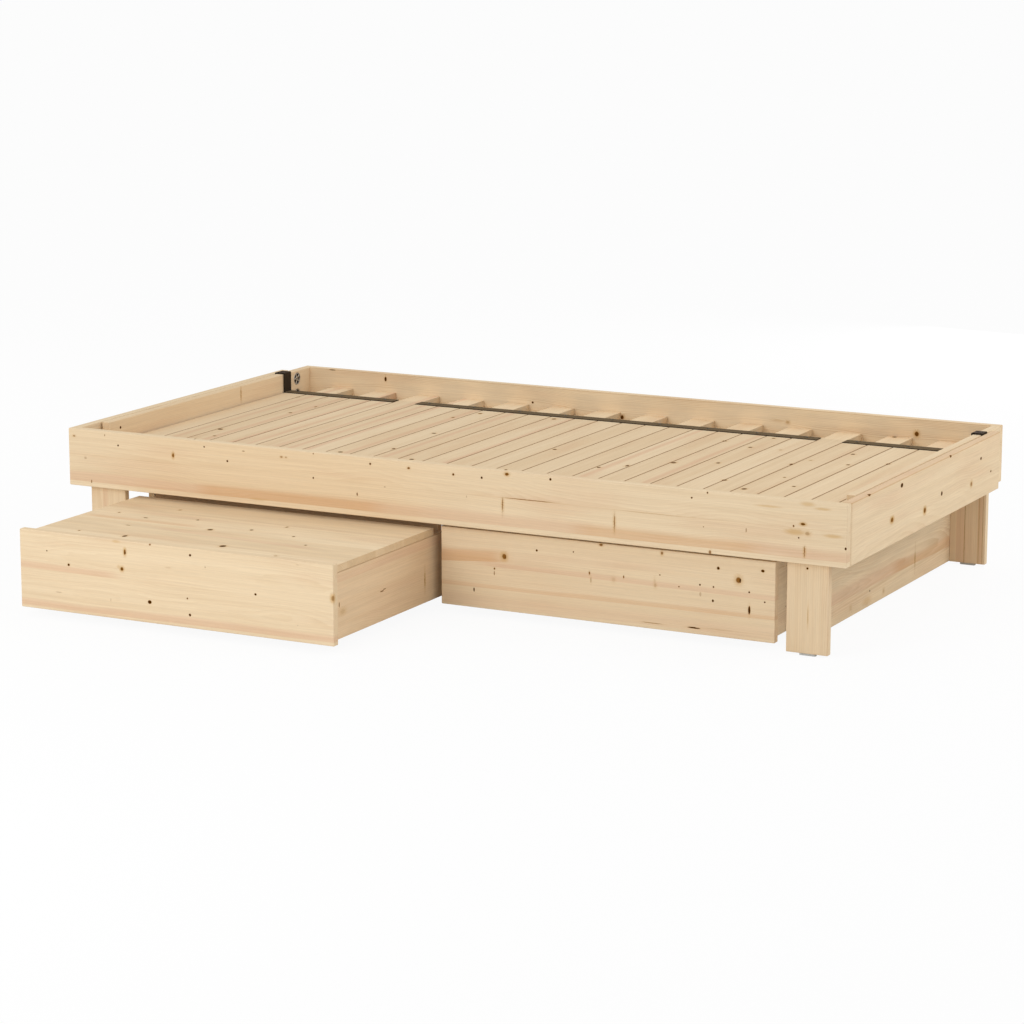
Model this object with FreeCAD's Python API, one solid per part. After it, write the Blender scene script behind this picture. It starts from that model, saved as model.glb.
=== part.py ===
"""Extendable slatted bed of solid pine, with two lidded drawers on castors under it.

A fixed frame (back board, inner end boards, end panels, rear legs, cross rails and every second
slat) stands on the floor. A pull-out frame (front board, outer end boards, front legs and the
slats in between) slides forward along -Y and widens the bed. Millimetres, +Z up, front facing -Y.
"""
import FreeCAD, Part
import os

os.makedirs("parts", exist_ok=True)

# Mattress space and the boards round it
mattress_length = 2000.0
mattress_play = 14.0
closed_depth = 1130.0
bed_height = 365.0
board_height = 146.0
board_thickness = 22.0
board_ease = 2.0
outer_board_setback = 74.0
inner_board_setback = 90.0

# Slats, their rails and the ledger on the front board
slat_count = 29
slat_thickness = 18.0
slat_gap = 2.8
slat_end_play = 5.0
slat_front_clearance = 1.0
slat_ease = 1.5
platform_drop = 51.0
moving_slat_setback = 109.0
rail_width = 40.0
rail_height = 45.0

# Flat legs and end panels
front_leg_width = 103.0
rear_leg_width = 96.0
leg_thickness = 18.0
leg_end_play = 2.0
panel_thickness = 18.0
panel_setback = 75.0
pad_height = 5.0
pad_width = 40.0
pad_depth = 13.0
pad_corner = 4.0

# Steel tie bars over the moving slats, with a hook over each inner end board
bar_width = 36.0
bar_thickness = 2.0
bar_bend_radius = 2.5
hook_clearance = 2.0
hook_lip_length = 40.0
slats_per_outer_bar = 3
screw_head_diameter = 8.0
screw_head_height = 2.4
screw_shank_diameter = 4.0
screw_tip_cover = 4.0
screw_clearance = 0.1

# Cam locks between the end boards and the front and back boards
cam_diameter = 35.0
cam_back_wall = 8.0
cam_clearance = 0.3
cam_edge_distance = 70.0
cam_drop = 22.5
cam_spacing = 46.0
cam_slot_length = 24.0
cam_slot_width = 5.0
cam_slot_depth = 4.0
cam_bolt_diameter = 8.0
cam_bolt_cover = 7.0
cam_bolt_clearance = 0.2

# Drawers
drawer_pull_out = 490.0
drawer_depth = 560.0
drawer_end_clearance = 17.0
drawer_centre_gap = 12.0
drawer_top_clearance = 8.0
drawer_floor_clearance = 20.0
drawer_front_thickness = 20.0
drawer_box_inset = 11.0
drawer_side_thickness = 15.0
drawer_bottom_thickness = 5.0
drawer_bottom_lift = 10.0
drawer_groove_depth = 6.0
drawer_groove_clearance = 0.3
drawer_ease = 1.5
lid_thickness = 18.0
lid_drop = 8.0
lid_finger_gap = 50.0
lid_front_clearance = 1.0

# Castors under the drawers
wheel_diameter = 28.0
wheel_width = 12.0
wheel_ease = 1.5
wheel_side_clearance = 1.0
wheel_top_clearance = 7.0
axle_diameter = 5.0
axle_clearance = 0.1
axle_head = 1.5
fork_plate_length = 40.0
fork_plate_thickness = 2.0
fork_ear_thickness = 2.0
fork_ear_width = 14.0
castor_side_inset = 110.0
castor_end_inset = 120.0

# Limits of rounded edges as a share of the wall, the overrun of cuts and the reach of an edge search
ease_limit_share = 0.25
corner_limit_share = 0.45
overrun = 1.0
search_reach = 0.01

# Places that follow from the driving dimensions
half_inner = (mattress_length + mattress_play) / 2
inner_board_outer_face = half_inner + board_thickness
outer_board_inner_face = inner_board_outer_face + hook_clearance + bar_thickness
half_length = outer_board_inner_face + board_thickness
front_inside = board_thickness
back_inside = closed_depth - board_thickness
board_bottom = bed_height - board_height
slat_top = bed_height - platform_drop
slat_bottom = slat_top - slat_thickness
rail_bottom = slat_bottom - rail_height
outer_board_rear = back_inside - outer_board_setback
inner_board_front = front_inside + inner_board_setback
moving_slat_rear = back_inside - moving_slat_setback
bar_front = moving_slat_rear - bar_width
leg_outer_face = half_inner - leg_end_play
front_leg_inner_face = leg_outer_face - front_leg_width
rear_leg_inner_face = leg_outer_face - rear_leg_width
panel_inner_face = rear_leg_inner_face - panel_thickness
panel_front = front_inside + rail_width + panel_setback
slat_pitch = (2 * half_inner - 2 * slat_end_play + slat_gap) / slat_count
slat_width = slat_pitch - slat_gap
drawer_outer_end = panel_inner_face - drawer_end_clearance
drawer_inner_end = drawer_centre_gap / 2
drawer_front_top = board_bottom - drawer_top_clearance
lid_top = drawer_front_top - lid_drop
lid_bottom = lid_top - lid_thickness
fork_plate_under = wheel_diameter + wheel_top_clearance
drawer_bottom_under = fork_plate_under + fork_plate_thickness
drawer_side_under = drawer_bottom_under - drawer_bottom_lift
cam_depth = board_thickness - cam_back_wall
cam_bolt_grip = board_thickness - cam_bolt_cover
screw_length = bar_thickness + slat_thickness - screw_tip_cover

# The origin is on the floor under the middle of the bed as it stands, with the left drawer out
drawer_reach = drawer_pull_out - front_inside
origin_y = (closed_depth - drawer_reach) / 2

SIDES = (("left", -1), ("right", 1))


def block(x_range, y_range, z_range):
    """A plain box between two places on each axis, in any order."""
    low = [min(pair) for pair in (x_range, y_range, z_range)]
    high = [max(pair) for pair in (x_range, y_range, z_range)]
    size = [b - a for a, b in zip(low, high)]
    return Part.makeBox(*size, FreeCAD.Vector(*low))


def board(x_range, y_range, z_range, ease):
    """A planed board: a box with all its edges eased, never by more than its thickness allows."""
    shape = block(x_range, y_range, z_range)
    thickness = min(abs(b - a) for a, b in (x_range, y_range, z_range))
    return shape.makeFillet(min(ease, ease_limit_share * thickness), shape.Edges)


def cylinder(radius, start, end):
    """A round bar from one point to another along an axis."""
    first = FreeCAD.Vector(*start)
    run = FreeCAD.Vector(*end) - first
    return Part.makeCylinder(radius, run.Length, first, run)


def save(name, *solids):
    """Write one node, moved so that the origin lies under the middle of the whole bed."""
    shape = solids[0] if len(solids) == 1 else Part.makeCompound(list(solids))
    placed = shape.copy()
    placed.translate(FreeCAD.Vector(0, -origin_y, 0))
    placed.exportStep("parts/" + name + ".step")


def cam_heights(direction):
    """Heights of the two cams of a corner: below the top edge at the back, about mid height at the front."""
    upper = bed_height - cam_drop
    if direction < 0:
        upper = bed_height - (board_height - cam_spacing) / 2
    return upper, upper - cam_spacing


def cut_for_cams(shape, sign, face_x, cam_y, end_y, direction):
    """Round pockets for two cams in an end board's inner face, and the bolts' bores to its end."""
    for height in cam_heights(direction):
        radius = cam_diameter / 2
        pocket = cylinder(radius, (face_x - sign * overrun, cam_y, height),
                          (face_x + sign * cam_depth, cam_y, height))
        middle_x = face_x + sign * cam_depth / 2
        bore = cylinder(cam_bolt_diameter / 2 + cam_bolt_clearance, (middle_x, cam_y, height),
                        (middle_x, end_y, height))
        shape = shape.cut(pocket).cut(bore)
    return shape


def bolt_holes(shape, sign, face_x, inside_y, direction):
    """Blind holes in the front or back board that take the cam bolts of one corner."""
    for height in cam_heights(direction):
        middle_x = face_x + sign * cam_depth / 2
        radius = cam_bolt_diameter / 2 + cam_bolt_clearance
        hole = cylinder(radius, (middle_x, inside_y - direction * overrun, height),
                        (middle_x, inside_y + direction * (cam_bolt_grip + cam_bolt_clearance), height))
        shape = shape.cut(hole)
    return shape


def cam_locks(sign, face_x, cam_y, inside_y, direction):
    """The two cams of one corner, each a slotted disc, and the bolts that they pull."""
    solids = []
    for height in cam_heights(direction):
        middle_x = face_x + sign * cam_depth / 2
        cam = cylinder(cam_diameter / 2 - cam_clearance, (face_x, cam_y, height),
                       (face_x + sign * cam_depth, cam_y, height))
        slot_x = (face_x - sign * overrun, face_x + sign * cam_slot_depth)
        long_side = (-cam_slot_length / 2, cam_slot_length / 2)
        short_side = (-cam_slot_width / 2, cam_slot_width / 2)
        for run_y, run_z in ((long_side, short_side), (short_side, long_side)):
            slot = block(slot_x, [cam_y + v for v in run_y], [height + v for v in run_z])
            cam = cam.cut(slot)
        bolt_end = inside_y + direction * cam_bolt_grip
        socket = cylinder(cam_bolt_diameter / 2 + cam_bolt_clearance, (middle_x, cam_y, height),
                          (middle_x, inside_y, height))
        bolt = cylinder(cam_bolt_diameter / 2, (middle_x, cam_y, height), (middle_x, bolt_end, height))
        solids += [cam.cut(socket), bolt]
    return solids


def foot_pad(middle_x, middle_y):
    """A felt pad with rounded corners under a leg or panel."""
    shape = block((middle_x - pad_width / 2, middle_x + pad_width / 2),
                  (middle_y - pad_depth / 2, middle_y + pad_depth / 2), (0, pad_height))
    upright = [edge for edge in shape.Edges if round(edge.tangentAt(edge.FirstParameter).z)]
    return shape.makeFillet(min(pad_corner, corner_limit_share * pad_depth), upright)


# Front and back boards, each a full board on edge
front_cam_y = front_inside + cam_edge_distance
back_cam_y = back_inside - cam_edge_distance
front_board = board((-half_length, half_length), (0, front_inside), (board_bottom, bed_height), board_ease)
back_board = board((-inner_board_outer_face, inner_board_outer_face), (back_inside, closed_depth),
                   (board_bottom, bed_height), board_ease)
for side, sign in SIDES:
    front_board = bolt_holes(front_board, sign, sign * outer_board_inner_face, front_inside, -1)
    back_board = bolt_holes(back_board, sign, sign * half_inner, back_inside, 1)
save("front_board", front_board)
save("back_board", back_board)

# End boards: the outer pair follows the front board, the inner pair stays with the back board
front_locks = []
back_locks = []
for side, sign in SIDES:
    outer_face = sign * outer_board_inner_face
    outer = board((outer_face, sign * half_length), (front_inside, outer_board_rear),
                  (board_bottom, bed_height), board_ease)
    save("outer_end_board_" + side, cut_for_cams(outer, sign, outer_face, front_cam_y, front_inside, -1))
    front_locks += cam_locks(sign, outer_face, front_cam_y, front_inside, -1)
    inner_face = sign * half_inner
    inner = board((inner_face, sign * inner_board_outer_face), (inner_board_front, back_inside),
                  (board_bottom, bed_height), board_ease)
    save("inner_end_board_" + side, cut_for_cams(inner, sign, inner_face, back_cam_y, back_inside, 1))
    back_locks += cam_locks(sign, inner_face, back_cam_y, back_inside, 1)
save("front_cam_locks", *front_locks)
save("back_cam_locks", *back_locks)

# Flat legs behind the front board and inside the back board, and the end panels beside them
front_pads = []
fixed_pads = []
for side, sign in SIDES:
    front_leg_x = (sign * front_leg_inner_face, sign * leg_outer_face)
    rear_leg_x = (sign * rear_leg_inner_face, sign * leg_outer_face)
    leg_z = (pad_height, rail_bottom)
    front_leg_rear = front_inside + leg_thickness
    rear_leg_front = back_inside - leg_thickness
    save("front_leg_" + side, board(front_leg_x, (front_inside, front_leg_rear), leg_z, board_ease))
    save("rear_leg_" + side, board(rear_leg_x, (rear_leg_front, back_inside), leg_z, board_ease))
    panel_x = (sign * panel_inner_face, sign * rear_leg_inner_face)
    save("end_panel_" + side, board(panel_x, (panel_front, back_inside), leg_z, board_ease))
    front_pads.append(foot_pad(sum(front_leg_x) / 2, front_inside + leg_thickness / 2))
    fixed_pads.append(foot_pad(sum(rear_leg_x) / 2, back_inside - leg_thickness / 2))
    panel_pad = foot_pad(0, 0)
    panel_pad.rotate(FreeCAD.Vector(0, 0, 0), FreeCAD.Vector(0, 0, 1), 90)
    panel_middle = sign * (panel_inner_face + panel_thickness / 2)
    panel_pad.translate(FreeCAD.Vector(panel_middle, panel_front + pad_width, 0))
    fixed_pads.append(panel_pad)
save("front_foot_pads", *front_pads)
save("fixed_foot_pads", *fixed_pads)

# Rails under the slats: three cross rails on the end panels, and the ledger on the front board
rail_x = (-half_inner, half_inner)
rail_z = (rail_bottom, slat_bottom)
rear_rail_front = back_inside - rail_width
middle_rail_front = (panel_front + rear_rail_front) / 2
for place, start in (("front", panel_front), ("middle", middle_rail_front), ("rear", rear_rail_front)):
    save(place + "_cross_rail", board(rail_x, (start, start + rail_width), rail_z, board_ease))
ledger_x = (-leg_outer_face, leg_outer_face)
save("front_slat_ledger", board(ledger_x, (front_inside, front_inside + rail_width), rail_z, board_ease))


def slat_start(index):
    """Left edge of the slat with this number, counted from the left end."""
    return -half_inner + slat_end_play + index * slat_pitch


# Slats: every second one is fixed, and the others move with the front board
moving_slats = list(range(0, slat_count, 2))
fixed_slats = list(range(1, slat_count, 2))
slat_z = (slat_bottom, slat_top)
for number, index in enumerate(fixed_slats, start=1):
    slat_x = (slat_start(index), slat_start(index) + slat_width)
    save("fixed_slat_%02d" % number, board(slat_x, (panel_front, back_inside), slat_z, slat_ease))

# The moving slats stand in three groups, each tied at the rear by a bar with a screw in every slat
outer_count = slats_per_outer_bar
groups = (("left", -1, moving_slats[:outer_count]), ("middle", 0, moving_slats[outer_count:-outer_count]),
          ("right", 1, moving_slats[-outer_count:]))
bar_middle = bar_front + bar_width / 2
bar_top = slat_top + bar_thickness


def plain_bar(start_x, end_x):
    """A flat steel strip that lies across the slats."""
    return block((start_x, end_x), (bar_front, moving_slat_rear), (slat_top, bar_top))


def hooked_bar(start_x, sign):
    """A strip that turns up the inner end board, crosses its top edge and drops into the gap behind it."""
    arm = half_inner - hook_clearance
    bridge = bed_height + hook_clearance
    bridge_top = bridge + bar_thickness
    lip_end = bridge_top - hook_lip_length
    lip = outer_board_inner_face
    lip_back = lip - bar_thickness
    arm_back = arm - bar_thickness
    outline = [(arm, slat_top), (arm, bridge), (lip_back, bridge), (lip_back, lip_end),
               (lip, lip_end), (lip, bridge_top), (arm_back, bridge_top), (arm_back, bar_top)]
    points = [(start_x, slat_top)] + [(sign * x, z) for x, z in outline] + [(start_x, bar_top)]
    corners = [FreeCAD.Vector(x, bar_front, z) for x, z in points]
    face = Part.Face(Part.makePolygon(corners + corners[:1]))
    strip = face.extrude(FreeCAD.Vector(0, bar_width, 0))
    bends = [(arm, slat_top), (arm_back, bridge_top), (lip, bridge_top)]
    marks = [Part.Vertex(sign * x, bar_middle, z) for x, z in bends]
    edges = [edge for edge in strip.Edges if any(edge.distToShape(mark)[0] < search_reach for mark in marks)]
    return strip.makeFillet(bar_bend_radius, edges)


screws = []
for name, sign, members in groups:
    first_edge = slat_start(members[0])
    last_edge = slat_start(members[-1]) + slat_width
    if sign:
        bar = hooked_bar(last_edge if sign < 0 else first_edge, sign)
    else:
        bar = plain_bar(first_edge, last_edge)
    slats = []
    for index in members:
        middle = slat_start(index) + slat_width / 2
        slat = board((slat_start(index), slat_start(index) + slat_width),
                     (front_inside + slat_front_clearance, moving_slat_rear), slat_z, slat_ease)
        hole = cylinder(screw_shank_diameter / 2 + screw_clearance,
                        (middle, bar_middle, bar_top + overrun),
                        (middle, bar_middle, bar_top - screw_length - screw_clearance))
        shank = cylinder(screw_shank_diameter / 2, (middle, bar_middle, bar_top),
                         (middle, bar_middle, bar_top - screw_length))
        head = cylinder(screw_head_diameter / 2, (middle, bar_middle, bar_top),
                        (middle, bar_middle, bar_top + screw_head_height))
        slats.append(slat.cut(hole))
        screws.append(head.fuse(shank).removeSplitter())
        bar = bar.cut(hole)
    save("moving_slats_" + name, *slats)
    save("tie_bar_" + name, bar)
save("tie_bar_screws", *screws)


def castor(middle_x, middle_y):
    """A fixed castor: a plate with two ears and a riveted axle, and the wheel that turns on it."""
    axle_z = wheel_diameter / 2
    plate = block((middle_x - fork_plate_length / 2, middle_x + fork_plate_length / 2),
                  (middle_y - fork_plate_length / 2, middle_y + fork_plate_length / 2),
                  (fork_plate_under, drawer_bottom_under))
    ear_inside = wheel_width / 2 + wheel_side_clearance
    ear_outside = ear_inside + fork_ear_thickness
    pieces = []
    for side, sign in SIDES:
        pieces.append(block((middle_x + sign * ear_inside, middle_x + sign * ear_outside),
                            (middle_y - fork_ear_width / 2, middle_y + fork_ear_width / 2),
                            (axle_z, fork_plate_under)))
        pieces.append(cylinder(fork_ear_width / 2, (middle_x + sign * ear_inside, middle_y, axle_z),
                               (middle_x + sign * ear_outside, middle_y, axle_z)))
    axle_end = ear_outside + axle_head
    pieces.append(cylinder(axle_diameter / 2, (middle_x - axle_end, middle_y, axle_z),
                           (middle_x + axle_end, middle_y, axle_z)))
    fork = plate.fuse(pieces).removeSplitter()
    wheel = cylinder(wheel_diameter / 2, (middle_x - wheel_width / 2, middle_y, axle_z),
                     (middle_x + wheel_width / 2, middle_y, axle_z))
    wheel = wheel.makeFillet(min(wheel_ease, ease_limit_share * wheel_width), wheel.Edges)
    bore = cylinder(axle_diameter / 2 + axle_clearance, (middle_x - wheel_width, middle_y, axle_z),
                    (middle_x + wheel_width, middle_y, axle_z))
    return fork, wheel.cut(bore)


# Drawers: a box behind an overlapping front, with a loose lid on top and castors under its bottom
for side, sign in SIDES:
    name = "drawer_" + side + "_"
    front_y = front_inside - (drawer_pull_out if side == "left" else 0)
    box_front = front_y + drawer_front_thickness
    box_rear = front_y + drawer_depth
    back_front = box_rear - drawer_side_thickness
    box_outer = drawer_outer_end - drawer_box_inset
    box_inner = drawer_inner_end + drawer_box_inset
    outer_wall = box_outer - drawer_side_thickness
    inner_wall = box_inner + drawer_side_thickness
    box_z = (drawer_side_under, lid_bottom)
    bottom_x = (sign * (inner_wall - drawer_groove_depth), sign * (outer_wall + drawer_groove_depth))
    bottom_y = (box_front - drawer_groove_depth, back_front + drawer_groove_depth)
    bottom_z = (drawer_bottom_under, drawer_bottom_under + drawer_bottom_thickness)
    play = drawer_groove_clearance
    groove = block([v + sign * play * step for v, step in zip(bottom_x, (-1, 1))],
                   (bottom_y[0] - play, bottom_y[1] + play), (bottom_z[0], bottom_z[1] + play))
    front = board((sign * drawer_inner_end, sign * drawer_outer_end), (front_y, box_front),
                  (drawer_floor_clearance, drawer_front_top), board_ease)
    save(name + "front", front.cut(groove))
    wall_y = (box_front, box_rear)
    outer_side = board((sign * outer_wall, sign * box_outer), wall_y, box_z, drawer_ease)
    inner_side = board((sign * box_inner, sign * inner_wall), wall_y, box_z, drawer_ease)
    save(name + "outer_side", outer_side.cut(groove))
    save(name + "inner_side", inner_side.cut(groove))
    back_z = (drawer_side_under, lid_top)
    back = board((sign * inner_wall, sign * outer_wall), (back_front, box_rear), back_z, drawer_ease)
    save(name + "back", back.cut(groove))
    save(name + "bottom", block(bottom_x, bottom_y, bottom_z))
    lid_front = box_front + lid_front_clearance
    lid = board((sign * box_inner, sign * box_outer), (lid_front, back_front - lid_finger_gap),
                (lid_bottom, lid_top), drawer_ease)
    save(name + "lid", lid)
    forks = []
    for end, middle_y in (("front", box_front + castor_end_inset), ("rear", box_rear - castor_end_inset)):
        wheels = []
        for middle_x in (inner_wall + castor_side_inset, outer_wall - castor_side_inset):
            fork, wheel = castor(sign * middle_x, middle_y)
            forks.append(fork)
            wheels.append(wheel)
        save(name + end + "_wheels", *wheels)
    save(name + "castor_forks", *forks)
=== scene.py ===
"""Looks of the extendable pine bed, dressed piece by piece in the order in which it is put together."""
import math

import bpy
import numpy as np
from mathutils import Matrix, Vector


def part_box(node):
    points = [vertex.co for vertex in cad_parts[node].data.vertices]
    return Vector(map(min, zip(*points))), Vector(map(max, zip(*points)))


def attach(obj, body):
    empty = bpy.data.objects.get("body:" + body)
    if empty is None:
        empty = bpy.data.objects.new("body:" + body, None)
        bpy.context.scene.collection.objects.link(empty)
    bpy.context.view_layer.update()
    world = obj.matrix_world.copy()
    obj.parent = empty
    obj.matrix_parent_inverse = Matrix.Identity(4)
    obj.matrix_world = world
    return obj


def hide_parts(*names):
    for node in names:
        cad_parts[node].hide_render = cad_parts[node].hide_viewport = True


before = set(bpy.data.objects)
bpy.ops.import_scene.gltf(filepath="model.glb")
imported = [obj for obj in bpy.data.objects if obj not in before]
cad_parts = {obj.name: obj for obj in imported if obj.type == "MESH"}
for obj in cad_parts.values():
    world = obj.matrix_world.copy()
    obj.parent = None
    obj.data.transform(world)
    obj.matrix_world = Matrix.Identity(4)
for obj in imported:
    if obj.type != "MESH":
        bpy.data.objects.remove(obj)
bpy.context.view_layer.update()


# Front board: one planed pine board on edge, glued up from strips that are finger-jointed end to
# end. It is left untreated, with small dark branch knots and a reddish heart stripe low down, and
# it is held to the outer end boards by cam locks.
class Wire:
    """One output in a shader tree: arithmetic adds Math nodes, and add() makes any other node."""

    def __init__(self, tree, socket=None):
        self.tree = tree
        self.socket = socket

    def add(self, kind, settings=None, sockets=None, out=0):
        """Add a node: its settings first, then the value or link of each socket, by name or number."""
        node = self.tree.nodes.new("ShaderNode" + kind)
        for key, value in (settings or {}).items():
            setattr(node, key, value)
        for key, value in (sockets or {}).items():
            if isinstance(value, Wire):
                self.tree.links.new(value.socket, node.inputs[key])
            else:
                node.inputs[key].default_value = value
        return Wire(self.tree, node.outputs[out])

    def output(self, which):
        """Another output of the node that this wire comes from, by name or number."""
        return Wire(self.tree, self.socket.node.outputs[which])

    def split(self):
        """The X of a vector, whose Y and Z are the node's other outputs."""
        return self.add("SeparateXYZ", None, {0: self})

    def math(self, operation, *values):
        """A Math node on this wire and the other values, in order."""
        return self.add("Math", {"operation": operation}, dict(enumerate((self,) + values)))

    def reach(self, start, end, low=0.0, high=1.0):
        """A smooth step from low at start to high at end."""
        ends = {"Value": self, "From Min": start, "From Max": end, "To Min": low, "To Max": high}
        return self.add("MapRange", {"interpolation_type": "SMOOTHSTEP"}, ends)

    def within(self, start, end, fade):
        """1 from start to end and 0 beyond them, with a smooth step of twice the fade at either end."""
        return self.reach(start - fade, start + fade) * self.reach(end - fade, end + fade, 1.0, 0.0)

    def noise(self, scale, detail, roughness=0.5):
        """Noise at this place, as a value about one half."""
        sizes = {"Scale": scale, "Detail": detail, "Roughness": roughness}
        return self.add("TexNoise", None, {"Vector": self, **sizes})

    def bump(self, strength, distance):
        """The normal of a surface that rises with this wire, by a distance in metres."""
        return self.add("Bump", None, {"Height": self, "Strength": strength, "Distance": distance})

    def between(self, first, second):
        """The colour that lies this far from the first colour to the second."""
        return self.add("Mix", {"data_type": "RGBA"}, {0: self, 6: first, 7: second}, out=2)

    def mix(self, other, factor):
        """This colour blended with another one by a factor."""
        return self.add("Mix", {"data_type": "RGBA"}, {0: factor, 6: self, 7: other}, out=2)

    def __add__(self, other):
        return self.math("ADD", other)

    def __radd__(self, other):
        return self.math("ADD", other)

    def __sub__(self, other):
        return self.math("SUBTRACT", other)

    def __rsub__(self, other):
        return self.add("Math", {"operation": "SUBTRACT"}, {0: other, 1: self})

    def __mul__(self, other):
        return self.math("MULTIPLY", other)

    def __rmul__(self, other):
        return self.math("MULTIPLY", other)

    def __truediv__(self, other):
        return self.math("DIVIDE", other)


def srgb(red, green, blue):
    """A colour given in the 0 to 255 steps of a screen, as linear light with an alpha of 1."""
    steps = [v / 255 for v in (red, green, blue)]
    return tuple(v / 12.92 if v <= 0.04045 else ((v + 0.055) / 1.055) ** 2.4 for v in steps) + (1.0,)


def new_material(name):
    """A material with an empty principled shader, as (tree handle, shader node, material)."""
    material = bpy.data.materials.new(name)
    material.use_nodes = True
    shader = material.node_tree.nodes["Principled BSDF"]
    return Wire(material.node_tree), shader, material


def feed(shader, socket, wire):
    """Link a wire to one of the shader's sockets."""
    wire.tree.links.new(wire.socket, shader.inputs[socket])


def dress(material, *nodes):
    """Give CAD nodes this one material."""
    for node in nodes:
        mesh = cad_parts[node].data
        mesh.materials.clear()
        mesh.materials.append(material)


MM = 0.001
PALE = srgb(238, 217, 184)
CREAM = srgb(227, 203, 168)
LATEWOOD = srgb(204, 168, 122)
HEART = srgb(210, 160, 112)
ROSE = srgb(216, 174, 142)
AMBER = srgb(196, 150, 76)
KNOT_BROWN = srgb(136, 90, 36)
KNOT_DARK = srgb(68, 38, 6)
# A dark brown for painted shade in narrow gaps between parts.
GAP_SHADE_BROWN = srgb(140, 98, 62)
KNOT_EDGE = (0.75, 1.5)
KNOT_DEPTH = 0.8
KNOT_PUSH = 1.5
RIM_EDGE = (0.7, 3.2)
RIM_SHARE = 0.62
RING_WIDTH = 3.1
BAND_FADE = 40.0
JOINT_FADE = 6.0
FINGER_WIDTH = 7.0


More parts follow.
